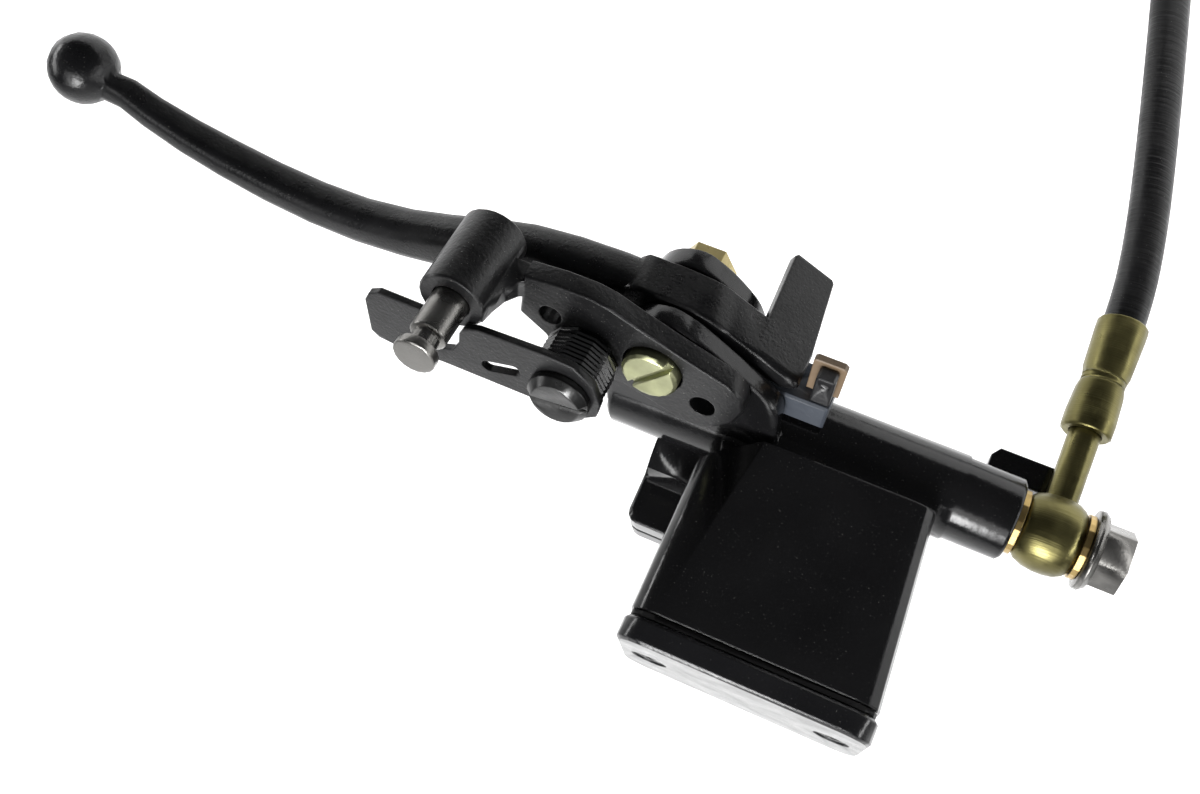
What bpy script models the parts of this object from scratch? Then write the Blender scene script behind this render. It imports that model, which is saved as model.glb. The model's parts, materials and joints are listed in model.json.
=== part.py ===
"""Brake master cylinder with hand lever, parking lock, stop switch and hose.

Row frame: X along the cylinder towards the banjo, Y forward, Z up, origin at
the centre of the handlebar clamp bore.  Dimensions are millimetres here and
are scaled to metres when a mesh is made.
"""
import bpy
import bmesh
import math
from mathutils import Matrix, Vector

MM = 0.001
TAU = 2 * math.pi

# ---- driving dimensions (mm) -------------------------------------------------
BAR_R = 11.1            # handlebar radius held by the clamp
CLAMP_X0, CLAMP_X1 = -13.0, 13.0
CLAMP_R = 16.5
CLAMP_BOLT_Z = 18.5
TILT = math.radians(18)  # the lever plane droops this much towards the front
PIVOT = (-13.0, 61.5, 2.1)   # pivot axis at the top of the lock bracket
BORE = (-13.0, 29.0, -6.0)   # bore axis, X counted from the pivot
BORE_R = 6.35
TUBE_R = 10.8
BOSS_R = 10.3
BOSS_X0, BOSS_X1 = 74.4, 88.4
PISTON_Y = -28.4        # bore axis in the lever plane, behind the pivot
LEVER_MID = -17.7       # bore axis and lever mid plane below the bracket top
LEVER_H = 11.4
EAR_TOP = (-5.8, -11.3)
EAR_LOW = (-24.2, -30.0)
HOSE_R = 5.1
COIL_R = 57.0           # mid-turn radius of the coiled rest of the hose
COIL_RISE = 10.6        # each turn lies on the one before
COIL_TURNS = 2
HOSE_Z = -209.9         # centreline of the lowest turn, below the bore axis
SWITCH_SCREW = (22.8, -10.3)
DETAIL = 0.66           # facets of the turned pieces
WIRE_FACETS = 5
TURN_POINTS = 12
SWITCH_PLUNGER_X = 28.5

FRAME_L = (Matrix.Translation(Vector(PIVOT)) @ Matrix.Rotation(-TILT, 4, 'X'))
FRAME_B = Matrix.Translation(Vector(BORE))
FRAME_0 = Matrix.Identity(4)


# ---- helpers -----------------------------------------------------------------
def clear_scene():
    for ob in list(bpy.data.objects):
        bpy.data.objects.remove(ob, do_unlink=True)
    for me in list(bpy.data.meshes):
        bpy.data.meshes.remove(me)


def new_object(name, bm, frame=FRAME_0):
    """Turn a bmesh in the given frame into an object, still in mm."""
    bmesh.ops.transform(bm, matrix=frame, verts=bm.verts)
    bmesh.ops.remove_doubles(bm, verts=bm.verts, dist=1e-4)
    bmesh.ops.recalc_face_normals(bm, faces=bm.faces)
    me = bpy.data.meshes.new(name)
    bm.to_mesh(me)
    bm.free()
    ob = bpy.data.objects.new(name, me)
    bpy.context.scene.collection.objects.link(ob)
    return ob


def axis_matrix(axis):
    """Rotation taking local +Z to the named axis."""
    if axis == 'X':
        return Matrix.Rotation(math.pi / 2, 4, 'Y')
    if axis == 'Y':
        return Matrix.Rotation(-math.pi / 2, 4, 'X')
    return Matrix.Identity(4)


def lathe(name, profile, frame=FRAME_0, axis='Z', at=(0, 0, 0), seg=32):
    """Solid of revolution; profile is a list of (along, radius)."""
    seg = seg if seg <= 6 else max(12, 2 * round(seg * DETAIL / 2))
    bm = bmesh.new()
    rings = []
    for z, r in profile:
        if r <= 1e-6:
            rings.append([bm.verts.new((0, 0, z))])
        else:
            rings.append([bm.verts.new((r * math.cos(TAU * i / seg),
                                        r * math.sin(TAU * i / seg), z))
                          for i in range(seg)])
    closed = profile[0][1] > 1e-6
    pairs = list(zip(rings, rings[1:]))
    if closed:
        pairs.append((rings[-1], rings[0]))
    for a, b in pairs:
        for i in range(seg):
            j = (i + 1) % seg
            if len(a) == 1 and len(b) == 1:
                continue
            if len(a) == 1:
                bm.faces.new((a[0], b[i], b[j]))
            elif len(b) == 1:
                bm.faces.new((a[i], b[0], a[j]))
            else:
                bm.faces.new((a[i], b[i], b[j], a[j]))
    place = frame @ Matrix.Translation(Vector(at)) @ axis_matrix(axis)
    return new_object(name, bm, place)


def rod(name, p0, length, r, frame=FRAME_0, axis='Z', seg=32, chamfer=0.0):
    if chamfer:
        prof = [(0, 0), (0, r - chamfer), (chamfer, r), (length - chamfer, r),
                (length, r - chamfer), (length, 0)]
    else:
        prof = [(0, 0), (0, r), (length, r), (length, 0)]
    return lathe(name, prof, frame, axis, p0, seg)


def tube(name, p0, length, r_in, r_out, frame=FRAME_0, axis='Z', seg=32):
    prof = [(0, r_in), (0, r_out), (length, r_out), (length, r_in)]
    return lathe(name, prof, frame, axis, p0, seg)


def prism(name, outline, z0, z1, frame=FRAME_0, chamfer=0.0):
    """Extruded outline, with an optional small chamfer on both faces."""
    bm = bmesh.new()
    n = len(outline)

    def inset(d):
        pts = [Vector(p) for p in outline]
        area = sum(pts[i].x * pts[(i + 1) % n].y - pts[(i + 1) % n].x * pts[i].y
                   for i in range(n))
        sign = 1 if area > 0 else -1
        out = []
        for i in range(n):
            a, b, c = pts[i - 1], pts[i], pts[(i + 1) % n]
            e0, e1 = (b - a).normalized(), (c - b).normalized()
            n0, n1 = Vector((-e0.y, e0.x)) * sign, Vector((-e1.y, e1.x)) * sign
            m = (n0 + n1).normalized()
            k = max(m.dot(n0), 0.5)
            out.append(b + m * (d / k))
        return out
    if chamfer:
        layers = [(z0, inset(chamfer)), (z0 + chamfer, inset(0)),
                  (z1 - chamfer, inset(0)), (z1, inset(chamfer))]
    else:
        layers = [(z0, inset(0)), (z1, inset(0))]
    rings = [[bm.verts.new((p.x, p.y, z)) for p in pts] for z, pts in layers]
    bm.faces.new(rings[0])
    bm.faces.new(rings[-1])
    for a, b in zip(rings, rings[1:]):
        for i in range(n):
            j = (i + 1) % n
            bm.faces.new((a[i], a[j], b[j], b[i]))
    return new_object(name, bm, frame)


def box(name, lo, hi, frame=FRAME_0):
    return prism(name, [(lo[0], lo[1]), (hi[0], lo[1]), (hi[0], hi[1]),
                        (lo[0], hi[1])], lo[2], hi[2], frame)


def round_rect(x0, x1, y0, y1, r, n=3):
    pts = []
    for cx, cy, a0 in ((x1 - r, y1 - r, 0), (x0 + r, y1 - r, 90),
                       (x0 + r, y0 + r, 180), (x1 - r, y0 + r, 270)):
        for i in range(n + 1):
            a = math.radians(a0 + 90 * i / n)
            pts.append((cx + r * math.cos(a), cy + r * math.sin(a)))
    return pts


def smooth_outline(points, per=4):
    """Closed Catmull-Rom curve through the points."""
    out = []
    n = len(points)
    for i in range(n):
        p = [Vector(points[(i + k - 1) % n]) for k in range(4)]
        for s in range(per):
            t = s / per
            q = 0.5 * (2 * p[1] + (p[2] - p[0]) * t
                       + (2 * p[0] - 5 * p[1] + 4 * p[2] - p[3]) * t * t
                       + (3 * p[1] - p[0] - 3 * p[2] + p[3]) * t ** 3)
            out.append((q.x, q.y))
    return out


def loft(name, sections, frame=FRAME_0):
    """Closed loft through rings of equal point count."""
    bm = bmesh.new()
    rings = [[bm.verts.new(p) for p in ring] for ring in sections]
    bm.faces.new(rings[0])
    bm.faces.new(rings[-1])
    n = len(rings[0])
    for a, b in zip(rings, rings[1:]):
        for i in range(n):
            j = (i + 1) % n
            bm.faces.new((a[i], a[j], b[j], b[i]))
    return new_object(name, bm, frame)


def open_edges(me):
    bm = bmesh.new()
    bm.from_mesh(me)
    n = sum(1 for e in bm.edges if len(e.link_faces) != 2)
    bm.free()
    return n


def combine(base, other, op):
    """Boolean; a few microns of shift keep coplanar faces apart."""
    mod = base.modifiers.new('cut', 'BOOLEAN')
    mod.operation = op
    mod.solver = 'EXACT'
    mod.object = other
    best = None
    for k in range(9):
        other.location = Vector((0.0031, 0.0043, 0.0037)) * k * (-1) ** k
        mod.use_hole_tolerant = k in (2, 5, 8)
        bpy.context.view_layer.update()
        dg = bpy.context.evaluated_depsgraph_get()
        me = bpy.data.meshes.new_from_object(base.evaluated_get(dg))
        bm = bmesh.new()
        bm.from_mesh(me)
        bmesh.ops.remove_doubles(bm, verts=bm.verts, dist=0.0008)
        bmesh.ops.dissolve_degenerate(bm, edges=bm.edges, dist=0.0008)
        bm.to_mesh(me)
        bm.free()
        n = open_edges(me)
        if best is None or n < best[0]:
            if best:
                bpy.data.meshes.remove(best[1])
            best = (n, me)
        else:
            bpy.data.meshes.remove(me)
        if n == 0:
            break
    base.modifiers.clear()
    old = base.data
    base.data = best[1]
    bpy.data.meshes.remove(old)
    bpy.data.objects.remove(other, do_unlink=True)
    return base


def join(base, *others):
    for other in others:
        combine(base, other, 'UNION')
    return base


def cut(base, *others):
    for other in others:
        combine(base, other, 'DIFFERENCE')
    return base


def tube_along(name, pts, r, seg=8, frame=FRAME_0):
    """Closed round wire along a list of points, with parallel transport."""
    pts = [Vector(p) for p in pts]
    tang = [(pts[min(i + 1, len(pts) - 1)] - pts[max(i - 1, 0)]).normalized()
            for i in range(len(pts))]
    side = tang[0].orthogonal().normalized()
    rings = []
    for p, t in zip(pts, tang):
        side = (side - t * side.dot(t)).normalized()
        up = t.cross(side)
        rings.append([p + side * (r * math.cos(TAU * k / seg))
                      + up * (r * math.sin(TAU * k / seg)) for k in range(seg)])
    return loft(name, rings, frame)


def helix(r, z0, z1, turns, start=0.0):
    per = TURN_POINTS
    n = int(turns * per)
    return [(r * math.cos(start + TAU * turns * i / n),
             r * math.sin(start + TAU * turns * i / n), z0 + (z1 - z0) * i / n)
            for i in range(n + 1)]


def finish(ob, colour, metal=0.0, rough=0.5, origin=None, smooth=35):
    mat = bpy.data.materials.new(ob.name + '_mat')
    mat.use_nodes = True
    node = mat.node_tree.nodes['Principled BSDF']
    node.inputs['Base Color'].default_value = (*colour, 1)
    node.inputs['Metallic'].default_value = metal
    node.inputs['Roughness'].default_value = rough
    ob.data.materials.clear()
    ob.data.materials.append(mat)
    bm = bmesh.new()
    bm.from_mesh(ob.data)
    bmesh.ops.dissolve_limit(bm, angle_limit=math.radians(0.5), verts=bm.verts,
                             edges=bm.edges, delimit={'NORMAL'})
    bmesh.ops.triangulate(bm, faces=[f for f in bm.faces if len(f.verts) > 4])
    bm.normal_update()
    limit = math.radians(smooth)
    for f in bm.faces:
        f.smooth = True
    for e in bm.edges:
        e.smooth = len(e.link_faces) == 2 and e.calc_face_angle(0) < limit
    bm.to_mesh(ob.data)
    bm.free()
    ob.data.transform(Matrix.Scale(MM, 4))
    if origin is not None:
        o = Vector(origin) * MM
        ob.data.transform(Matrix.Translation(-o))
        ob.location = o
    return ob


BLACK = (0.012, 0.012, 0.014)
SATIN = (0.03, 0.03, 0.033)
OLIVE = (0.36, 0.35, 0.2)
BRASS = (0.72, 0.55, 0.25)
STEEL = (0.42, 0.42, 0.42)
DARK_STEEL = (0.16, 0.16, 0.17)
RUBBER = (0.015, 0.015, 0.015)
ZINC = (0.62, 0.62, 0.4)


def to_row(p, frame):
    return frame @ Vector(p)


# ---- body casting --------------------------------------------------------------
def make_body():
    body = lathe('body', [(-12, 0), (-12, 12.0), (-10.6, 13.4), (26.6, 13.4),
                          (28.4, TUBE_R), (BOSS_X0 - 0.4, TUBE_R), (BOSS_X0, BOSS_R),
                          (BOSS_X1 - 0.9, BOSS_R), (BOSS_X1, BOSS_R - 0.9),
                          (BOSS_X1, 0)], FRAME_B, 'X', seg=40)
    # reservoir: slight draft, the left foot slopes up from the tube
    lower = round_rect(15.2, 70.6, -18, 16.6, 5)
    upper = round_rect(14.8, 74.6, -20.5, 18, 6)
    ring0 = [(x, y, 9.4) for x, y in lower]
    ring1 = [(x, y, 56.6) for x, y in upper]
    tank = loft('res', [ring0, ring1], FRAME_B)
    wedge = prism('w', [(8, 2), (29.5, 2), (29.5, 8.6), (14, 19.6), (8, 19.6)],
                  -25, 25, FRAME_B @ Matrix.Rotation(math.pi / 2, 4, 'X'))
    cut(tank, wedge)
    # neck of metal between tube and tank
    saddle = prism('s', [(24, 0), (71, 0), (71, 12.5), (28.4, 12.5), (20, 16.5),
                         (18, 9)], -9.2, 9.2,
                   FRAME_B @ Matrix.Rotation(math.pi / 2, 4, 'X'))
    join(tank, saddle)
    join(body, tank)
    # clamp half on the handlebar
    half = CLAMP_X1 - CLAMP_X0
    lug = round_rect(CLAMP_X0, CLAMP_X1, -25.5, 25.5, 3)
    yz = Matrix.Rotation(-math.pi / 2, 4, 'X')
    join(body, prism('lug', lug, 0.2, 8.5, yz, 0.8))
    join(body, rod('c', (CLAMP_X0 + 0.4, 0, 0), half - 0.8, CLAMP_R, FRAME_0, 'X', 40))
    join(body, box('web', (CLAMP_X0 + 2, 8, -15), (CLAMP_X1 - 2, 22, 14)))
    cut(body, box('split', (CLAMP_X0 - 2, -30, -40), (CLAMP_X1 + 2, 0.8, 40)))
    # ears of the lever fork
    ear = smooth_outline([(-11.4, -3), (-9.6, 4.2), (-5.6, 8.6), (0, 10.2),
                          (5.4, 8.9), (10.6, 6.2), (17.1, 2.2), (26.6, -3.9),
                          (29.4, -8), (29.9, -14), (29.6, -24), (14, -33),
                          (-6, -34), (-12.4, -27), (-12.2, -14)], 3)
    join(body, prism('e', ear, EAR_TOP[1], EAR_TOP[0], FRAME_L, 0.6))
    low = smooth_outline([(-11.4, -3), (-9.6, 4.2), (-5.6, 8.6), (0, 10.2),
                          (5.4, 8.2), (10.6, 4.6), (15.6, -0.6), (18.5, -8),
                          (20, -16), (20, -26), (12, -33), (-6, -34),
                          (-12.4, -27), (-12.2, -14)], 3)
    join(body, prism('e', low, EAR_LOW[1], EAR_LOW[0], FRAME_L, 0.6))
    # lug that stops the banjo neck from turning backwards
    stop = [(78.9, -4), (87.6, -4), (87.6, -10.6), (95, -10.6), (95, -17.9),
            (80.6, -17.9), (78.9, -15.6)]
    join(body, prism('lug', stop, 5.2, 11.0,
                     FRAME_B @ Matrix.Rotation(math.pi / 2, 4, 'X'), 0.4))
    # cuts: fork slot, bore, ports, pivot holes, clamp bore, bolts, cover screws
    z_lo, z_hi = EAR_LOW[0], EAR_TOP[1]
    cut(body, box('slot', (-30, -38.2, z_lo), (16.5, 30, z_hi), FRAME_L))
    cut(body, box('slot2', (16, -14.6, z_lo), (60, 30, z_hi), FRAME_L))
    cut(body, rod('bore', (10, 0, 0), 66, BORE_R, FRAME_B, 'X', 40))
    cut(body, rod('cb', (10, 0, 0), 12.4, 8.8, FRAME_B, 'X', 40))
    cut(body, rod('thread', (70, 0, 0), 30, 4.65, FRAME_B, 'X', 32))
    cavity0 = [(x, y, 14.0) for x, y in round_rect(30, 67.4, -14.8, 13.4, 3.5)]
    cavity1 = [(x, y, 24.0) for x, y in round_rect(19, 68.4, -15.4, 13.8, 3.5)]
    cavity2 = [(x, y, 60.0) for x, y in round_rect(18, 71.4, -17.3, 14.8, 4)]
    cut(body, loft('cav', [cavity0, cavity1, cavity2], FRAME_B))
    cut(body, rod('port', (52, 0, 0), 18, 1.6, FRAME_B, 'Z', 16))
    cut(body, rod('port', (58.5, 0, 0), 18, 0.7, FRAME_B, 'Z', 12))
    cut(body, rod('piv', (0, 0, -34), 36, 4.15, FRAME_L, 'Z', 24))
    cut(body, rod('sw', (*SWITCH_SCREW, -14), 7.4, 1.95, FRAME_L, 'Z', 16))
    cut(body, rod('bar', (CLAMP_X0 - 3, 0, 0), half + 6, BAR_R, FRAME_0, 'X', 48))
    for s in (-1, 1):
        cut(body, rod('m6', (0, -1, s * CLAMP_BOLT_Z), 9.0, 2.65, FRAME_0, 'Y', 20))
    for x in COVER_SCREW_X:
        post = rod('post', (x, COVER_SCREW_Y, 22), 34.6, 3.8, FRAME_B, 'Z', 20)
        join(body, post)
        cut(body, rod('m4', (x, COVER_SCREW_Y, 42), 20, 1.95, FRAME_B, 'Z', 16))
    return finish(body, BLACK, 0.0, 0.25, smooth=32)


COVER_SCREW_X = (22.0, 67.4)
COVER_SCREW_Y = -1.2


def make_cover():
    """Reservoir cover, diaphragm, its pressure plate and two screws."""
    out = []
    rim = round_rect(14.2, 75.2, -21.1, 18.6, 6.5)
    cover = prism('reservoir_cover', rim, 58.4, 64.4, FRAME_B, 0.7)
    cut(cover, prism('r', round_rect(18, 71.4, -17.5, 15, 4), 57, 60.8, FRAME_B))
    for x in COVER_SCREW_X:
        join(cover, rod('b', (x, COVER_SCREW_Y, 58.4), 5, 6.0, FRAME_B, 'Z', 20))
        cut(cover, rod('h', (x, COVER_SCREW_Y, 50), 20, 2.4, FRAME_B, 'Z', 20))
        cut(cover, lathe('cs', [(61.6, 0), (61.6, 2.2), (63.7, 4.5), (66, 4.5),
                                (66, 0)], FRAME_B, 'Z', (x, COVER_SCREW_Y, 0), 24))
    out.append(finish(cover, BLACK, 0.0, 0.3))
    dia = prism('diaphragm', round_rect(15.2, 74.2, -20.1, 17.6, 6), 56.9, 58.1,
                FRAME_B)
    join(dia, prism('p', round_rect(27.6, 61.6, -15.4, 12.8, 4), 49.5, 58.1, FRAME_B))
    cut(dia, prism('p', round_rect(28.8, 60.4, -14.2, 11.6, 3.4), 50.7, 60, FRAME_B))
    for x in COVER_SCREW_X:
        cut(dia, rod('h', (x, COVER_SCREW_Y, 50), 20, 2.4, FRAME_B, 'Z', 16))
    out.append(finish(dia, RUBBER, 0.0, 0.6))
    plate = prism('diaphragm_plate', round_rect(29.2, 60, -13.8, 11.2, 3), 58.4, 60.4,
                  FRAME_B)
    cut(plate, prism('p', round_rect(33, 56, -9, 6.4, 2), 57, 62, FRAME_B))
    out.append(finish(plate, (0.75, 0.74, 0.7), 0.0, 0.5))
    for i, x in enumerate(COVER_SCREW_X):
        s = lathe('cover_screw_%d' % (i + 1),
                  [(46, 0), (46, 1.4), (46.6, 1.8), (61.2, 1.8), (61.8, 1.9),
                   (63.4, 3.9), (64.0, 3.9), (64.0, 0)],
                  FRAME_B, 'Z', (x, COVER_SCREW_Y, 0), 24)
        for a in (0, 90):
            rot = (FRAME_B @ Matrix.Translation(Vector((x, COVER_SCREW_Y, 0)))
                   @ Matrix.Rotation(math.radians(a + 20), 4, 'Z'))
            cut(s, box('x', (-2.1, -0.45, 62.6), (2.1, 0.45, 65), rot))
        out.append(finish(s, STEEL, 1.0, 0.35))
    return out


def make_clamp():
    out = []
    lug = round_rect(CLAMP_X0, CLAMP_X1, -25.5, 25.5, 3)
    yz = Matrix.Rotation(-math.pi / 2, 4, 'X')
    cap = prism('clamp_cap', lug, -7.6, -0.2, yz, 0.8)
    join(cap, rod('c', (CLAMP_X0 + 0.4, 0, 0), CLAMP_X1 - CLAMP_X0 - 0.8, CLAMP_R,
                  FRAME_0, 'X', 40))
    cut(cap, box('s', (CLAMP_X0 - 2, -0.8, -40), (CLAMP_X1 + 2, 30, 40)))
    cut(cap, rod('bar', (CLAMP_X0 - 3, 0, 0), 32, BAR_R, FRAME_0, 'X', 48))
    for s in (-1, 1):
        cut(cap, rod('m6', (0, -20, s * CLAMP_BOLT_Z), 25, 3.3, FRAME_0, 'Y', 20))
        cut(cap, rod('face', (0, -20, s * CLAMP_BOLT_Z), 12.5, 6.9, FRAME_0, 'Y', 32))
    out.append(finish(cap, BLACK, 0.0, 0.25))
    for i, s in enumerate((1, -1)):
        z = s * CLAMP_BOLT_Z
        b = rod('clamp_bolt_%d' % (i + 1), (0, -9.5, z), 17.2, 2.5, FRAME_0, 'Y', 20, 0.4)
        join(b, rod('f', (0, -9.4, z), 1.4, 6.0, FRAME_0, 'Y', 24, 0.3))
        join(b, rod('h', (0, -14.0, z), 5.0, 5.6, FRAME_0, 'Y', 6))
        out.append(finish(b, STEEL, 1.0, 0.35))
    return out


# ---- lever ------------------------------------------------------------------
BLADE = [  # x, centre y, width in y, height in z
    (-158.0, 4.0, 6.6, 7.0), (-152.5, 3.6, 6.4, 7.4), (-146.0, 0.2, 6.6, 8.0),
    (-136.0, -3.4, 7.2, 8.8), (-125.0, -6.2, 7.8, 9.4), (-112.0, -8.8, 8.4, 9.8),
    (-99.0, -10.2, 9.0, 10.0), (-86.0, -10.2, 9.8, 10.2), (-73.0, -8.4, 10.8, 10.4),
    (-61.0, -5.4, 12.2, 10.6), (-50.0, -2.2, 13.8, 10.9), (-39.0, 0.4, 15.4, 11.1),
    (-28.0, 1.0, 17.2, 11.4), (-16.0, 0.6, 19.0, 11.4), (-4.0, 0.4, 18.0, 11.4)]


def make_lever():
    rings = []
    for i, (x, y, w, h) in enumerate(BLADE):
        a = BLADE[max(i - 1, 0)]
        b = BLADE[min(i + 1, len(BLADE) - 1)]
        d = Vector((b[0] - a[0], b[1] - a[1])).normalized()
        nx, ny = -d.y, d.x
        r = min(w, h) * 0.34
        sec = round_rect(-w / 2, w / 2, -h / 2, h / 2, r, 3)
        rings.append([(x + nx * u, y + ny * u, LEVER_MID + v) for u, v in sec])
    lever = loft('brake_lever', rings, FRAME_L)
    ball = [(9.0 * math.cos(math.pi * k / 12), 9.0 * math.sin(math.pi * k / 12))
            for k in range(13)]
    ball[0] = (9.0, 0)
    ball[-1] = (-9.0, 0)
    join(lever, lathe('ball', ball[::-1], FRAME_L, 'Z', (-165.2, 6.4, LEVER_MID - 0.4), 24))
    z0, z1 = LEVER_MID - LEVER_H / 2, LEVER_MID + LEVER_H / 2
    hub = smooth_outline([(-13, 8.6), (-6, 10.4), (1.5, 10.2), (8, 9.2), (14, 6.2),
                          (22, 2.4), (29.5, -1.2), (31.2, -3.6), (27, -5.2),
                          (18, -3.0), (11, -5.5), (8.2, -14), (6.2, -23),
                          (5.3, -28.4), (3.6, -33.2), (-2, -34.2), (-6.6, -30),
                          (-8, -22), (-9.4, -12), (-14, -8)], 3)
    join(lever, prism('hub', hub, z0, z1, FRAME_L, 0.7))
    # flat tab hanging from the heel, in line with its front face
    ang = math.atan2(-1.7 - 9.4, 30.6 - 7.6)
    tabf = FRAME_L @ Matrix.Translation(Vector((19.4, 3.7, 0))) @ Matrix.Rotation(ang, 4, 'Z')
    tab = [(0.2, z1 - 1.5), (12.8, z1 - 1.6), (13.3, -22), (10.8, -43.8), (10.0, -44.6),
           (-0.4, -44.6), (-1.0, -43.6), (-0.2, -24.0)]
    up = Matrix.Rotation(math.pi / 2, 4, 'X')
    join(lever, prism('tab', tab, -0.1, 3.0, tabf @ up, 0.4))
    cut(lever, rod('piv', (0, 0, -40), 60, 6.3, FRAME_L, 'Z', 28))
    ob = finish(lever, SATIN, 0.2, 0.4,
                origin=to_row((0, 0, LEVER_MID), FRAME_L), smooth=40)
    return ob


def make_pivot():
    out = []
    scr = lathe('pivot_screw', [(-37.6, 0), (-37.6, 3.0), (-36.8, 3.7), (-30.2, 3.7),
                                (-30.0, 3.85), (-5.5, 3.85), (-5.5, 6.9), (1.9, 6.9),
                                (2.6, 6.2), (2.6, 0)], FRAME_L, 'Z', seg=28)
    rot = FRAME_L @ Matrix.Rotation(math.radians(50), 4, 'Z')
    cut(scr, box('slot', (-9, -0.9, 0.8), (9, 0.9, 5), rot))
    out.append(finish(scr, ZINC, 0.9, 0.4))
    nut = rod('pivot_nut', (0, 0, -35.2), 4.9, 7.1, FRAME_L, 'Z', 6)
    cut(nut, rod('h', (0, 0, -40), 20, 4.0, FRAME_L, 'Z', 24))
    out.append(finish(nut, ZINC, 0.9, 0.4))
    bush = tube('pivot_bush', (0, 0, LEVER_MID - LEVER_H / 2 + 0.2), LEVER_H - 0.4,
                4.15, 6.0, FRAME_L, 'Z', 28)
    out.append(finish(bush, BRASS, 0.9, 0.4))
    return out


# ---- parking lock --------------------------------------------------------------
BARREL = (-45.0, 11.5)
LATCH = (-16.5, -2.8)


def make_lock():
    out = []
    front = [(-32.6, 15.2), (-24, 16.2), (-16.3, 16.2), (-11.6, 15.2), (-4.5, 12.3),
             (6.9, 8.1), (17.8, 4.4)]
    right = [(21.4, 1.4), (22.4, -3), (20.6, -8.6), (16.6, -12.8), (12.2, -14.9),
             (8.0, -14.6)]
    rear = [(0, -12), (-7.4, -9.5), (-12.5, -11), (-18.5, -10.6), (-23.6, -7.2),
            (-27, -2.4), (-33.4, 2.2)]
    plate = prism('lock_bracket', [*front, *right, *rear], -5.5, 0, FRAME_L, 0.5)
    bx, by = BARREL
    # gusset between barrel and plate, rising along the barrel
    neck = [(-38.6, 11.0), (-38.6, -5.4), (-30.0, -5.4), (-31.0, -0.6), (-33.4, 0.8),
            (-35.4, 3.6), (-36.6, 7.4), (-37.2, 11.0)]
    up = Matrix.Rotation(math.pi / 2, 4, 'X')
    join(plate, prism('neck', neck, -13.6, -8.4, FRAME_L @ up))
    join(plate, rod('barrel', (bx, by, -11.2), 22.3, 8.15, FRAME_L, 'Z', 36, 0.5))
    # stepped bore: shaft guide at the top, spring room below
    cut(plate, rod('b', (bx, by, -3.0), 20, 4.8, FRAME_L, 'Z', 28))
    cut(plate, rod('b', (bx, by, -20), 27, 6.3, FRAME_L, 'Z', 32))
    cut(plate, rod('h1', (-25.7, 5.2, -8), 10, 2.9, FRAME_L, 'Z', 24))
    cut(plate, rod('h2', (13.0, -6.4, -8), 10, 3.15, FRAME_L, 'Z', 24))
    cut(plate, rod('pv', (0, 0, -8), 10, 7.45, FRAME_L, 'Z', 32))
    cut(plate, rod('m6', (*LATCH, -8), 10, 2.95, FRAME_L, 'Z', 20))
    out.append(finish(plate, SATIN, 0.3, 0.35))
    plunger = lathe('lock_plunger',
                    [(-4.6, 0), (-4.6, 4.2), (-4.2, 4.5), (6.2, 4.5), (6.2, 4.5),
                     (21.6, 4.5), (22.0, 4.1), (22.2, 3.25), (25.4, 3.25),
                     (25.7, 4.8), (26.0, 5.1), (28.0, 5.1), (28.3, 4.8), (28.3, 0)],
                    FRAME_L, 'Z', (bx, by, 0), 28)
    out.append(finish(plunger, STEEL, 1.0, 0.35,
                      origin=to_row((bx, by, 0), FRAME_L)))
    spring = tube_along('lock_plunger_spring',
                        [(bx + x, by + y, z) for x, y, z in
                         helix(5.45, -9.8, 5.6, 5)], 0.45, WIRE_FACETS, FRAME_L)
    out.append(finish(spring, STEEL, 1.0, 0.35))
    latch = [(-66.2, 3.2), (-65.0, 6.0), (-62.4, 7.6), (-51.2, 7.5), (-51.0, 6.8),
             (-51.0, 0.6), (-49.4, -2.6), (-46.5, -3.8), (-43.8, -2.6), (-42.2, 0.8),
             (-42.0, 4.4), (-40.6, 7.0), (-37.2, 8.2), (-21.5, 9.0), (-14, 8.4),
             (-8.8, 4.2), (-6.8, -1.6), (-7.6, -6.6), (-11, -9.4), (-23.7, -9.1),
             (-46.5, -9.0), (-58.8, -10.1), (-63.6, -9.4), (-65.6, -7.6)]
    lt = prism('latch_plate', latch, 11.5, 13.5, FRAME_L, 0.25)
    cut(lt, rod('h', (*LATCH, 10), 6, 4.8, FRAME_L, 'Z', 28))
    sl = Matrix.Translation(Vector((-31.5, -2.4, 0))) @ Matrix.Rotation(0.3, 4, 'Z')
    cut(lt, prism('sl', round_rect(-5.0, 5.0, -1.7, 1.7, 1.5), 10, 15, FRAME_L @ sl))
    out.append(finish(lt, SATIN, 0.4, 0.35, origin=to_row((*LATCH, 12.5), FRAME_L)))
    pts = [(LATCH[0] + x, LATCH[1] + y, z) for x, y, z in
           helix(8.6, 1.0, 10.5, 8, math.radians(100))]
    sp = tube_along('latch_spring', pts, 0.52, WIRE_FACETS, FRAME_L)
    out.append(finish(sp, STEEL, 1.0, 0.3))
    scr = lathe('latch_screw', [(-5.2, 0), (-5.2, 2.2), (-4.8, 2.65), (0.3, 2.65),
                                (0.3, 4.5), (13.8, 4.5), (13.8, 7.6), (15.2, 7.6),
                                (16.9, 6.0), (16.9, 0)],
                FRAME_L, 'Z', (*LATCH, 0), 32)
    rot = (FRAME_L @ Matrix.Translation(Vector((*LATCH, 0)))
           @ Matrix.Rotation(math.radians(8), 4, 'Z'))
    cut(scr, box('slot', (-9, -0.7, 15.4), (9, 0.7, 19), rot))
    out.append(finish(scr, DARK_STEEL, 1.0, 0.35))
    return out


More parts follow.
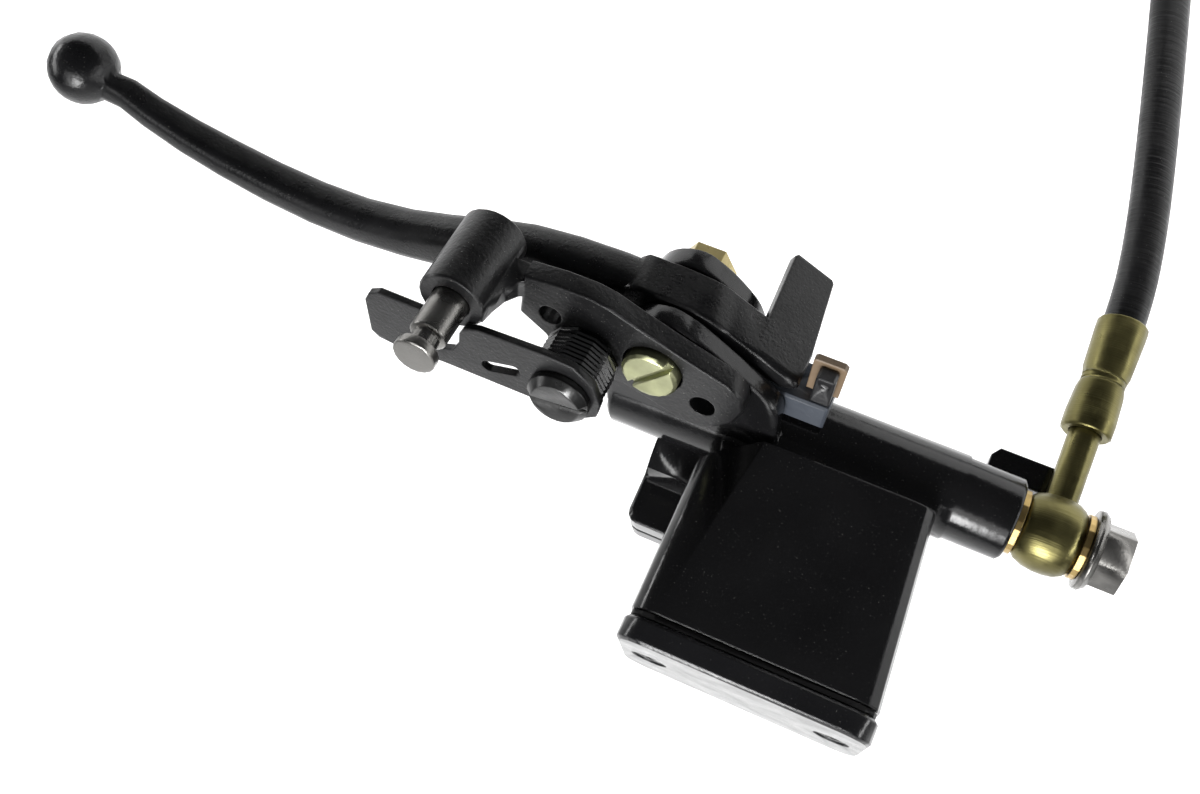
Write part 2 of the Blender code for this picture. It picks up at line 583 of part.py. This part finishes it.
# ---- inside the bore --------------------------------------------------------------
def make_hydraulics():
    out = []
    p = lathe('piston', [(6.3, 0), (6.3, 3.6), (6.9, 4.2), (22.2, 4.2), (22.4, 6.15),
                         (24.0, 6.15), (24.2, 4.2), (27.2, 4.2), (27.4, 6.15),
                         (31.6, 6.15), (31.8, 3.9), (45.0, 3.9), (45.2, 6.15),
                         (47.0, 6.15), (47.2, 3.3), (50.4, 3.3), (50.6, 4.6),
                         (52.0, 4.6), (52.4, 3.0), (55.0, 2.6), (55.0, 0)],
              FRAME_B, 'X', seg=32)
    out.append(finish(p, (0.7, 0.7, 0.72), 1.0, 0.3,
                      origin=to_row((6.3, 0, 0), FRAME_B)))
    c = lathe('secondary_cup', [(24.5, 4.4), (24.5, 6.2), (26.9, 6.2), (26.9, 4.4)],
              FRAME_B, 'X', seg=32)
    out.append(finish(c, RUBBER, 0.0, 0.5, origin=to_row((6.3, 0, 0), FRAME_B)))
    c = lathe('primary_cup', [(47.5, 3.5), (47.5, 6.2), (50.1, 6.2), (50.1, 3.5)],
              FRAME_B, 'X', seg=32)
    out.append(finish(c, RUBBER, 0.0, 0.5, origin=to_row((6.3, 0, 0), FRAME_B)))
    s = tube_along('piston_return_spring',
                   [(z, x, y) for x, y, z in helix(5.4, 52.9, 75.0, 6)],
                   0.5, WIRE_FACETS, FRAME_B)
    out.append(finish(s, STEEL, 1.0, 0.3))
    ring = lathe('circlip', [(20.9, 5.0), (20.9, 8.6), (21.9, 8.6), (21.9, 5.0)],
                 FRAME_B, 'X', seg=32)
    cut(ring, box('gap', (20, -2.0, -10), (23, 2.0, 0), FRAME_B))
    out.append(finish(ring, STEEL, 1.0, 0.35))
    boot = lathe('dust_boot', [(14.0, 4.5), (14.0, 5.6), (16.8, 6.4), (16.8, 8.4),
                               (20.5, 8.4), (20.5, 6.8), (18.0, 5.6), (15.4, 4.7)],
                 FRAME_B, 'X', seg=32)
    out.append(finish(boot, RUBBER, 0.0, 0.6))
    return out


# ---- banjo and hose ------------------------------------------------------------
BANJO_X = 97.6


def make_banjo():
    out = []
    for name, x0 in (('banjo_washer_1', BOSS_X1 + 0.1), ('banjo_washer_2', 104.1)):
        w = tube(name, (x0, 0, 0), 1.5, 5.2, 8.0, FRAME_B, 'X', 36)
        out.append(finish(w, BRASS, 0.9, 0.35))
    eye = lathe('banjo_fitting', [(90.3, 5.3), (90.3, 7.2), (91.4, 8.3), (93.6, 9.2),
                                  (96.4, 9.6), (98.8, 9.6), (101.2, 9.2), (102.9, 8.3),
                                  (103.9, 7.2), (103.9, 5.3)], FRAME_B, 'X', seg=40)
    join(eye, rod('n', (BANJO_X - 0.4, 0, -36.0), 29.6, 3.9, FRAME_B, 'Z', 28))
    cut(eye, rod('b', (85, 0, 0), 30, 5.3, FRAME_B, 'X', 36))
    out.append(finish(eye, OLIVE, 0.9, 0.4))
    bolt = lathe('banjo_bolt', [(72.6, 0), (72.6, 3.4), (73.4, 4.3), (88.2, 4.3),
                                (89.0, 4.5), (105.9, 4.5), (105.9, 9.7), (107.2, 9.9),
                                (108.4, 9.0), (108.6, 0)], FRAME_B, 'X', seg=36)
    hexa = rod('h', (108.2, 0, 0), 7.0, 8.05, FRAME_B, 'X', 6)
    join(bolt, hexa)
    cut(bolt, rod('d', (60, 0, 0), 36, 1.6, FRAME_B, 'X', 16))
    cut(bolt, rod('x', (97.2, -12, 0), 24, 1.3, FRAME_B, 'Y', 14))
    out.append(finish(bolt, STEEL, 1.0, 0.35))
    return out


def ferrule(name, place):
    """Crimped ferrule along local -Z from the neck, open at the hose end."""
    prof = [(-26.9, 4.1), (-26.9, 5.6), (-27.4, 6.2), (-31.0, 6.3), (-38.0, 5.9),
            (-41.0, 5.2), (-44.0, 5.9), (-54.5, 6.3), (-56.8, 6.3), (-57.2, 6.1),
            (-57.2, 5.4), (-37.6, 5.4), (-37.6, 4.1)]
    ob = lathe(name, prof, place, 'Z', seg=24)
    return finish(ob, OLIVE, 0.9, 0.4)


# ---- hose: straight drop, bend to the floor, coil, tail -----------------------------
HOSE_DROP = [(97.2, 0, -38.4), (97.2, 0, -48), (97.2, 0, -57.5), (96.6, 0, -70),
             (94.4, 0, -86), (91.0, 0, -104), (86.4, 0, -126), (80.9, 0, -151),
             (77.0, 0, -167.6)]
COIL_CENTRE = (-15.0, COIL_R)


def hose_bend():
    """Quarter bend of 55 mm from the drop to level, then level to the coil."""
    lean = math.radians(12.6)
    cx, cz = 77.0 - 55 * math.cos(lean), HOSE_Z + 55
    pts = []
    for k in range(1, 9):
        a = -lean - (math.pi / 2 - lean) * k / 8
        pts.append((cx + 55 * math.cos(a), 0, cz + 55 * math.sin(a)))
    return pts


def smooth_line(points, step):
    """Catmull-Rom through the points, resampled about every step mm."""
    p = [Vector(q) for q in points]
    p = [2 * p[0] - p[1], *p, 2 * p[-1] - p[-2]]
    out = [p[1]]
    for i in range(1, len(p) - 2):
        n = max(1, round((p[i + 1] - p[i]).length / step))
        for k in range(1, n + 1):
            t = k / n
            out.append(0.5 * (2 * p[i] + (p[i + 1] - p[i - 1]) * t
                              + (2 * p[i - 1] - 5 * p[i] + 4 * p[i + 1] - p[i + 2]) * t ** 2
                              + (3 * p[i] - p[i - 1] - 3 * p[i + 1] + p[i + 2]) * t ** 3))
    return out


def hose_tube(name, points):
    cu = bpy.data.curves.new(name, 'CURVE')
    cu.dimensions = '3D'
    cu.bevel_depth = HOSE_R
    cu.bevel_resolution = 2
    cu.use_fill_caps = True
    line = smooth_line(points, 24)
    sp = cu.splines.new('POLY')
    sp.points.add(len(line) - 1)
    for pt, v in zip(sp.points, line):
        pt.co = (*(FRAME_B @ v), 1)
    ob = bpy.data.objects.new(name + '_line', cu)
    bpy.context.scene.collection.objects.link(ob)
    bpy.context.view_layer.update()
    me = bpy.data.meshes.new_from_object(
        ob.evaluated_get(bpy.context.evaluated_depsgraph_get()))
    bpy.data.objects.remove(ob, do_unlink=True)
    out = bpy.data.objects.new(name, me)
    bpy.context.scene.collection.objects.link(out)
    return finish(out, RUBBER, 0.0, 0.55)


TAIL_END = (-114.0, 0.0, HOSE_Z)


def make_hose():
    out = []
    cx = COIL_CENTRE[0]
    out.append(hose_tube('brake_hose', [*HOSE_DROP, *hose_bend()]))
    z0, z1 = HOSE_Z - HOSE_R, HOSE_Z + HOSE_R + COIL_RISE * COIL_TURNS
    ri, ro = COIL_R - HOSE_R, COIL_R + HOSE_R
    ring = lathe('hose_coil', [(z0, ri + 2), (z0, ro - 2), (z0 + 2, ro), (z1 - 2, ro),
                               (z1, ro - 2), (z1, ri + 2), (z1 - 2, ri), (z0 + 2, ri)],
                 FRAME_B, 'Z', (*COIL_CENTRE, 0), 40)
    out.append(finish(ring, RUBBER, 0.0, 0.55))
    top = HOSE_Z + COIL_RISE * COIL_TURNS
    drop = top - TAIL_END[2]
    tail = [(cx - d, 0, top - drop * (1 - math.cos(math.pi * min(d / 72, 1))) / 2)
            for d in (37.5, 46, 55, 64, 72, 86)] + [TAIL_END]
    out.append(hose_tube('brake_hose_tail', tail))
    place = (FRAME_B @ Matrix.Translation(Vector((97.2, 0, 0))))
    out.append(ferrule('hose_ferrule', place))
    # lower end: the same ferrule and banjo, lying level and pointing to -X
    low = (FRAME_B @ Matrix.Translation(Vector((TAIL_END[0] - 38.4, 0, TAIL_END[2])))
           @ Matrix.Rotation(-math.pi / 2, 4, 'Y'))
    out.append(ferrule('hose_ferrule_2', low))
    eye = lathe('banjo_fitting_2',
                [(-6.8, 5.3), (-6.8, 7.2), (-5.7, 8.3), (-3.5, 9.2), (-1.2, 9.6),
                 (1.2, 9.6), (3.5, 9.2), (5.7, 8.3), (6.8, 7.2), (6.8, 5.3)],
                low, 'X', seg=40)
    join(eye, rod('n', (0, 0, -36.0), 29.6, 3.9, low, 'Z', 28))
    cut(eye, rod('b', (-12, 0, 0), 24, 5.3, low, 'X', 36))
    out.append(finish(eye, OLIVE, 0.9, 0.4))
    # cable tie round the three strands where the coil closes
    tx = cx - 8
    outer = round_rect(-8.2, 8.2, z0 - 1.7, z1 + 1.7, 3.0)
    inner = round_rect(-6.9, 6.9, z0 - 0.4, z1 + 0.4, 1.2)
    yz = FRAME_B @ Matrix.Translation(Vector((tx, 0.5, 0))) @ YZ_PLANE
    tie = prism('coil_tie', outer, -2.4, 2.4, yz)
    cut(tie, prism('i', inner, -3, 3, yz))
    head = box('hd', (-3.4, -12.2, -2.9), (3.4, -7.6, 2.9),
               FRAME_B @ Matrix.Translation(Vector((tx, 0.5, HOSE_Z + 16))))
    join(tie, head)
    out.append(finish(tie, (0.02, 0.02, 0.02), 0.0, 0.4))
    return out


YZ_PLANE = Matrix(((0, 0, 1, 0), (1, 0, 0, 0), (0, 1, 0, 0), (0, 0, 0, 1)))


# ---- brake light switch ------------------------------------------------------------
def make_switch():
    out = []
    hx = [(15.6, -14.2), (39.4, -14.2), (39.4, -6.4), (15.6, -6.4)]
    h = prism('switch_housing', hx, -23.4, -11.7, FRAME_L, 0.6)
    cut(h, rod('p', (SWITCH_PLUNGER_X, -12.9, LEVER_MID), 10, 2.3, FRAME_L, 'Y', 20))
    cut(h, rod('s', (*SWITCH_SCREW, -30), 30, 2.15, FRAME_L, 'Z', 20))
    out.append(finish(h, (0.05, 0.055, 0.06), 0.0, 0.5))
    b = prism('switch_base', [(32.6, -6.0), (40.4, -6.0), (40.6, 4.2), (39.8, 5.0),
                              (33.2, 5.0), (32.6, 4.4)], -17.6, -15.6, FRAME_L, 0.2)
    out.append(finish(b, (0.5, 0.38, 0.26), 0.0, 0.6))
    k = prism('switch_connector', [(34.6, -5.2), (39.2, -5.2), (39.2, 3.2), (38.6, 3.8),
                                   (35.2, 3.8), (34.6, 3.2)], -15.3, -11.7, FRAME_L, 0.3)
    cut(k, rod('r', (37.0, 1.0, -12.6), 4, 1.3, FRAME_L, 'Z', 18))
    out.append(finish(k, (0.02, 0.02, 0.02), 0.0, 0.5))
    pl = lathe('switch_plunger', [(-12.5, 0), (-12.5, 2.0), (-6.6, 2.0), (-5.9, 1.6),
                                  (-5.5, 0.8), (-5.5, 0)],
               FRAME_L, 'Y', (SWITCH_PLUNGER_X, 0, LEVER_MID), 20)
    out.append(finish(pl, (0.75, 0.73, 0.68), 0.0, 0.4,
                      origin=to_row((SWITCH_PLUNGER_X, -9, LEVER_MID), FRAME_L)))
    x, y = SWITCH_SCREW
    sc = lathe('switch_screw', [(-26.0, 0), (-26.0, 2.6), (-25.2, 3.2), (-23.8, 3.2),
                                (-23.8, 1.7), (-7.4, 1.7), (-7.0, 1.4), (-7.0, 0)],
               FRAME_L, 'Z', (x, y, 0), 20)
    cut(sc, box('c', (x - 4, y - 0.45, -27), (x + 4, y + 0.45, -25.2), FRAME_L))
    out.append(finish(sc, STEEL, 1.0, 0.35))
    return out


clear_scene()
make_body()
make_cover()
make_clamp()
make_lever()
make_pivot()
make_lock()
make_hydraulics()
make_banjo()
make_hose()
make_switch()
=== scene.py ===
import json
import math

import bmesh
import bpy
from mathutils import Matrix, Vector


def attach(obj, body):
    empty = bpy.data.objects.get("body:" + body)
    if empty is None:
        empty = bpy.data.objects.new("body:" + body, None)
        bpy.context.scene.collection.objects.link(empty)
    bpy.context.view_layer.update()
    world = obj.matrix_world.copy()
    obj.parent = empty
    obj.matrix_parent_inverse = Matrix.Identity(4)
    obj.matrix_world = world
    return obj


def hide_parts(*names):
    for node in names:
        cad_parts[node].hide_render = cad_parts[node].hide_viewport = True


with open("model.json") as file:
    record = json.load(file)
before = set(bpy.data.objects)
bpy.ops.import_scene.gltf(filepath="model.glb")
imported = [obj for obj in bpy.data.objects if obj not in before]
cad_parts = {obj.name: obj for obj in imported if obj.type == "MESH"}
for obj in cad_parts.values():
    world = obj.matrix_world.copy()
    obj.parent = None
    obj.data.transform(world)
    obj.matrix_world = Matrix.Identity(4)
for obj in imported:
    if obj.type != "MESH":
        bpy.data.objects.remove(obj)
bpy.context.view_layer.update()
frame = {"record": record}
scene = bpy.context.scene

# ---- camera -------------------------------------------------------------------------
CAMERA_AT = (0.0395, 0.3512, 0.0937)
CAMERA_BACK = Vector((0.198, 0.944, 0.264)).normalized()
CAMERA_UP = Vector((-0.364, 0.321, -0.8745))
LENS_MM = 40.85

right = CAMERA_UP.cross(CAMERA_BACK).normalized()
up = CAMERA_BACK.cross(right).normalized()
cam_data = bpy.data.cameras.new("camera")
cam_data.lens = LENS_MM
cam_data.sensor_width = 36.0
cam_data.clip_start = 0.01
cam = bpy.data.objects.new("camera", cam_data)
scene.collection.objects.link(cam)
cam.matrix_world = Matrix((
    (right.x, up.x, CAMERA_BACK.x, CAMERA_AT[0]),
    (right.y, up.y, CAMERA_BACK.y, CAMERA_AT[1]),
    (right.z, up.z, CAMERA_BACK.z, CAMERA_AT[2]),
    (0, 0, 0, 1)))
scene.camera = cam

# ---- hose: drop from the ferrule, bend to the floor, two turns, tail ------------------
MM = 0.001
BORE = Vector((-13.0, 29.0, -6.0))
HOSE_R = 5.1
HOSE_Z = -209.9
COIL_X, COIL_R, COIL_RISE, COIL_TURNS = -15.0, 57.0, 10.6, 2
TAIL_X = -114.0
BEND_R = 55.0
BEND_LEAN = math.radians(12.6)   # lean of the drop where the bend starts
TAIL_FLAT = 8.0                  # the tail leaves the coil level for this far,
TAIL_SLOPE = 72.0                # then comes down to the floor over this length


def hose_route():
    """Points of the hose's centreline in mm, counted from the bore axis."""
    pts = [(97.2, 0, -38.4), (97.2, 0, -48), (97.2, 0, -57.5), (96.6, 0, -70),
           (94.4, 0, -86), (91.0, 0, -104), (86.4, 0, -126), (80.9, 0, -151),
           (77.0, 0, -167.6)]
    cx, cz = pts[-1][0] - BEND_R * math.cos(BEND_LEAN), HOSE_Z + BEND_R
    for k in range(1, 9):
        a = -BEND_LEAN - (math.pi / 2 - BEND_LEAN) * k / 8
        pts.append((cx + BEND_R * math.cos(a), 0, cz + BEND_R * math.sin(a)))
    pts.append((4.0, 0, HOSE_Z))
    steps = 20 * COIL_TURNS
    for k in range(steps + 1):
        a = 2 * math.pi * COIL_TURNS * k / steps
        pts.append((COIL_X - COIL_R * math.sin(a), COIL_R * (1 - math.cos(a)),
                    HOSE_Z + COIL_RISE * COIL_TURNS * k / steps))
    top = COIL_RISE * COIL_TURNS
    for d in (12, 24, 36, 48, 60, 72, 84):
        t = min(max((d - TAIL_FLAT) / TAIL_SLOPE, 0), 1)
        pts.append((COIL_X - d, 0, HOSE_Z + top * (1 + math.cos(math.pi * t)) / 2))
    pts.append((TAIL_X, 0, HOSE_Z))
    return [(BORE + Vector(p)) * MM for p in pts]


def smooth_route(p, n):
    """Catmull-Rom through the points, n pieces each."""
    p = [2 * p[0] - p[1], *p, 2 * p[-1] - p[-2]]
    out = [p[1]]
    for i in range(1, len(p) - 2):
        for k in range(1, n + 1):
            t = k / n
            out.append(0.5 * (2 * p[i] + (p[i + 1] - p[i - 1]) * t
                              + (2 * p[i - 1] - 5 * p[i] + 4 * p[i + 1] - p[i + 2]) * t ** 2
                              + (3 * p[i] - p[i - 1] - 3 * p[i + 1] + p[i + 2]) * t ** 3))
    return out


route = smooth_route(hose_route(), 4)
curve = bpy.data.curves.new("hose", "CURVE")
curve.dimensions = "3D"
curve.bevel_depth = 1.0   # each point has the hose's own radius
curve.bevel_resolution = 6
curve.use_fill_caps = True
spline = curve.splines.new("POLY")
spline.points.add(len(route) - 1)
for point, v in zip(spline.points, route):
    point.co = (*v, 1)
    point.radius = HOSE_R * MM
hose = bpy.data.objects.new("hose", curve)
scene.collection.objects.link(hose)
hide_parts("brake_hose", "hose_coil", "brake_hose_tail")
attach(hose, "housing")


# ---- materials ----------------------------------------------------------------------
DUST = (0.55, 0.54, 0.5)
DUST_SIZE = 2600       # specks of about 0.4 mm
BUMP_DEPTH = 0.0003    # metres


def material(name, colour, metal, rough, *, vary=0.25, scale=60, bump=0.0, bump_scale=900,
             coat=0.0, spec=0.5, dust=0.0, lines=None, edge=0.0004, tone=0.12):
    """Finish with uneven colour and sheen, a fine bump, dust specks and soft edges."""
    m = bpy.data.materials.new(name)
    m.use_nodes = True
    m.diffuse_color = (*colour, 1)
    nt = m.node_tree
    bsdf = nt.nodes["Principled BSDF"]
    bsdf.inputs["Metallic"].default_value = metal
    bsdf.inputs["Coat Weight"].default_value = coat
    bsdf.inputs["Specular IOR Level"].default_value = spec
    bsdf.inputs["Coat Roughness"].default_value = 0.08
    link = nt.links.new
    pos = nt.nodes.new("ShaderNodeTexCoord").outputs["Object"]

    def noise(size, detail=3.0, stretch=None):
        node = nt.nodes.new("ShaderNodeTexNoise")
        node.inputs["Scale"].default_value = size
        node.inputs["Detail"].default_value = detail
        if stretch:
            mp = nt.nodes.new("ShaderNodeMapping")
            mp.inputs["Scale"].default_value = stretch
            link(pos, mp.inputs["Vector"])
            link(mp.outputs[0], node.inputs["Vector"])
        else:
            link(pos, node.inputs["Vector"])
        return node.outputs["Fac"]

    def remap(value, a, b, lo, hi):
        node = nt.nodes.new("ShaderNodeMapRange")
        node.inputs["From Min"].default_value = a
        node.inputs["From Max"].default_value = b
        node.inputs["To Min"].default_value = lo
        node.inputs["To Max"].default_value = hi
        link(value, node.inputs["Value"])
        return node.outputs[0]

    def mix(fac, a, b):
        node = nt.nodes.new("ShaderNodeMix")
        node.data_type = "RGBA"
        link(fac, node.inputs[0])
        for value, sock in ((a, node.inputs[6]), (b, node.inputs[7])):
            if hasattr(value, "links"):
                link(value, sock)
            else:
                sock.default_value = (*value, 1)
        return node.outputs[2]

    dark = tuple(c * (1 - tone) for c in colour)
    light = tuple(min(1, c * (1 + tone) + 0.002) for c in colour)
    shade = mix(remap(noise(scale), 0.3, 0.7, 0, 1), dark, light)
    if dust:
        speck = remap(noise(DUST_SIZE, 1.0), 0.735, 0.78, 0, dust)
        shade = mix(speck, shade, DUST)
    link(shade, bsdf.inputs["Base Color"])
    link(remap(noise(scale * 2.3), 0.3, 0.7, rough * (1 - vary), rough * (1 + vary)),
         bsdf.inputs["Roughness"])
    normal = None
    if edge:
        bev = nt.nodes.new("ShaderNodeBevel")
        bev.samples = 4
        bev.inputs["Radius"].default_value = edge
        normal = bev.outputs[0]
    if bump:
        bp = nt.nodes.new("ShaderNodeBump")
        bp.inputs["Strength"].default_value = bump
        bp.inputs["Distance"].default_value = BUMP_DEPTH
        link(noise(bump_scale, 2.0, stretch=lines), bp.inputs["Height"])
        if normal:
            link(normal, bp.inputs["Normal"])
        normal = bp.outputs[0]
    if normal:
        link(normal, bsdf.inputs["Normal"])
    return m


GLOSS = material("gloss_black", (0.006, 0.006, 0.0065), 0.0, 0.16, bump=0.12, bump_scale=700,
                 spec=0.4, dust=0.12, edge=0.0008)
LID = material("lid_black", (0.008, 0.008, 0.009), 0.0, 0.2, bump=0.15, bump_scale=900,
               spec=0.45, dust=0.12, edge=0.0007)
SATIN = material("satin_black", (0.004, 0.004, 0.0045), 0.0, 0.3, spec=0.3, bump=0.25, bump_scale=1300,
                 dust=0.15, edge=0.0005)
BRACKET = material("bracket_black", (0.006, 0.006, 0.0065), 0.0, 0.34, spec=0.35,
                   bump=0.3, bump_scale=1100, dust=0.25, edge=0.0005)
RUBBER = material("soft_rubber", (0.01, 0.01, 0.01), 0.0, 0.6, spec=0.3, bump=0.3, edge=0.0003)
HOSE = material("hose_rubber", (0.004, 0.004, 0.0045), 0.0, 0.38, spec=0.3, bump=0.5, bump_scale=260,
                lines=(0.3, 0.3, 4.0), dust=0.1,
                edge=0)
PLASTIC = material("black_plastic", (0.012, 0.012, 0.013), 0.0, 0.4, bump=0.2, edge=0.0003)
GREY = material("grey_plastic", (0.04, 0.047, 0.06), 0.0, 0.5, bump=0.25, edge=0.0004)
TAN = material("tan_plastic", (0.16, 0.11, 0.065), 0.0, 0.5, bump=0.2, edge=0.0004)
STEEL = material("steel", (0.2, 0.195, 0.185), 1.0, 0.3, bump=0.12, bump_scale=1600,
                 edge=0.0004)
DARK_STEEL = material("dark_steel", (0.055, 0.055, 0.055), 1.0, 0.32, bump=0.15, edge=0.0004)
SPRING = material("spring_steel", (0.16, 0.16, 0.16), 1.0, 0.24, edge=0)
ALUMINIUM = material("bare_aluminium", (0.7, 0.7, 0.71), 1.0, 0.35, edge=0.0003)
YELLOW = material("yellow_zinc", (0.36, 0.30, 0.14), 1.0, 0.3, tone=0.25, scale=150,
                  edge=0.0004)
GREEN = material("green_zinc", (0.36, 0.37, 0.22), 1.0, 0.42, tone=0.2, scale=150,
                 edge=0.0005)
OLIVE = material("olive_zinc", (0.15, 0.135, 0.055), 1.0, 0.36, tone=0.3, scale=90, bump=0.2,
                 bump_scale=500, lines=(0.2, 0.2, 6.0), edge=0.0004)
BRASS = material("brass", (0.42, 0.30, 0.12), 1.0, 0.34, tone=0.2, edge=0.0003)

LOOKS = {
    "body": GLOSS, "reservoir_cover": LID, "diaphragm": RUBBER, "diaphragm_plate": PLASTIC,
    "cover_screw_1": DARK_STEEL, "cover_screw_2": DARK_STEEL, "clamp_cap": GLOSS,
    "clamp_bolt_1": YELLOW, "clamp_bolt_2": YELLOW, "brake_lever": SATIN,
    "pivot_screw": GREEN, "pivot_nut": YELLOW, "pivot_bush": STEEL,
    "lock_bracket": BRACKET, "lock_plunger": STEEL, "lock_plunger_spring": SPRING,
    "latch_plate": BRACKET, "latch_spring": SPRING, "latch_screw": DARK_STEEL,
    "piston": ALUMINIUM, "secondary_cup": RUBBER, "primary_cup": RUBBER,
    "piston_return_spring": SPRING, "circlip": DARK_STEEL, "dust_boot": RUBBER,
    "banjo_washer_1": BRASS, "banjo_washer_2": BRASS, "banjo_fitting": OLIVE,
    "banjo_bolt": STEEL, "hose_ferrule": OLIVE, "hose_ferrule_2": OLIVE,
    "banjo_fitting_2": OLIVE, "coil_tie": PLASTIC, "switch_housing": GREY,
    "switch_base": TAN, "switch_connector": PLASTIC, "switch_plunger": ALUMINIUM,
    "switch_screw": STEEL,
}


# ---- every CAD node is stood for by a welded, smoothly shaded piece ---------------------
SHARP_ANGLE = math.radians(29)
WELD = 2e-6


def finished(node, look):
    """Welded copy of a CAD node with smooth faces, riding on the same body as the node."""
    source = bpy.data.objects[node]
    bm = bmesh.new()
    bm.from_mesh(source.data)
    bmesh.ops.remove_doubles(bm, verts=bm.verts, dist=WELD)
    me = bpy.data.meshes.new(node + "_shell")
    bm.to_mesh(me)
    bm.free()
    for p in me.polygons:
        p.use_smooth = True
    me.set_sharp_from_angle(angle=SHARP_ANGLE)
    me.materials.append(look)
    ob = bpy.data.objects.new(node + "_shell", me)
    ob.matrix_world = source.matrix_world.copy()
    scene.collection.objects.link(ob)
    flat = ob.modifiers.new("flat_faces", "WEIGHTED_NORMAL")
    flat.keep_sharp = True
    flat.weight = 100
    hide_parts(node)
    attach(ob, next(b for b, names in BODIES.items() if node in names))
    return ob


BODIES = frame["record"]["behaviour"]["bodies"]
hose.data.materials.append(HOSE)
shells = {node: finished(node, look) for node, look in LOOKS.items()}

# ---- floor, backdrop and light -----------------------------------------------------------
FLOOR_Z = -0.2229
FLOOR_FRONT, FLOOR_BACK = 0.17, -0.30
SWEEP_R, WALL_H, HALF_WIDTH = 0.25, 2.6, 2.6


def sweep():
    """Pale floor that curves up into a wall behind the object."""
    prof = [(FLOOR_FRONT, 0.0), (FLOOR_BACK, 0.0)]
    for k in range(1, 9):
        a = math.pi / 2 * k / 8
        prof.append((FLOOR_BACK - SWEEP_R * math.sin(a), SWEEP_R * (1 - math.cos(a))))
    prof.append((FLOOR_BACK - SWEEP_R, WALL_H))
    verts = [(x, y, FLOOR_Z + z) for y, z in prof for x in (-HALF_WIDTH, HALF_WIDTH)]
    faces = [(2 * i, 2 * i + 1, 2 * i + 3, 2 * i + 2) for i in range(len(prof) - 1)]
    me = bpy.data.meshes.new("sweep")
    me.from_pydata(verts, [], faces)
    for p in me.polygons:
        p.use_smooth = True
    ob = bpy.data.objects.new("sweep", me)
    scene.collection.objects.link(ob)
    m = bpy.data.materials.new("paper")
    m.use_nodes = True
    b = m.node_tree.nodes["Principled BSDF"]
    b.inputs["Base Color"].default_value = (0.8, 0.8, 0.8, 1)
    b.inputs["Roughness"].default_value = 0.9
    b.inputs["Emission Color"].default_value = (1, 1, 1, 1)
    b.inputs["Emission Strength"].default_value = 0.5
    me.materials.append(m)


def area(name, at, aim, size, power, colour=(1, 1, 1), size_y=None):
    data = bpy.data.lights.new(name, "AREA")
    data.shape = "RECTANGLE"
    data.size, data.size_y = size, size_y or size
    data.energy = power
    data.color = colour
    ob = bpy.data.objects.new(name, data)
    scene.collection.objects.link(ob)
    ob.location = at
    ob.rotation_euler = (Vector(aim) - Vector(at)).to_track_quat("-Z", "Y").to_euler()
    return ob


sweep()
CENTRE = (0, 0.03, 0)
area("key", (0.05, 0.25, 0.75), CENTRE, 0.30, 7)
area("side_left", (0.85, 0.30, 0.10), CENTRE, 0.10, 3.0, size_y=0.8)
area("side_right", (-0.85, 0.25, 0.10), CENTRE, 0.10, 3.0, size_y=0.8)
area("wall", (0.0, 0.5, 1.3), (0, -0.55, 0.0), 1.2, 12)

world = bpy.data.worlds.new("world")
scene.world = world
world.use_nodes = True
world.node_tree.nodes["Background"].inputs["Color"].default_value = (0.95, 0.97, 1, 1)
world.node_tree.nodes["Background"].inputs["Strength"].default_value = 0.07
scene.view_settings.view_transform = "Standard"
scene.view_settings.exposure = 0.0

bpy.context.view_layer.update()
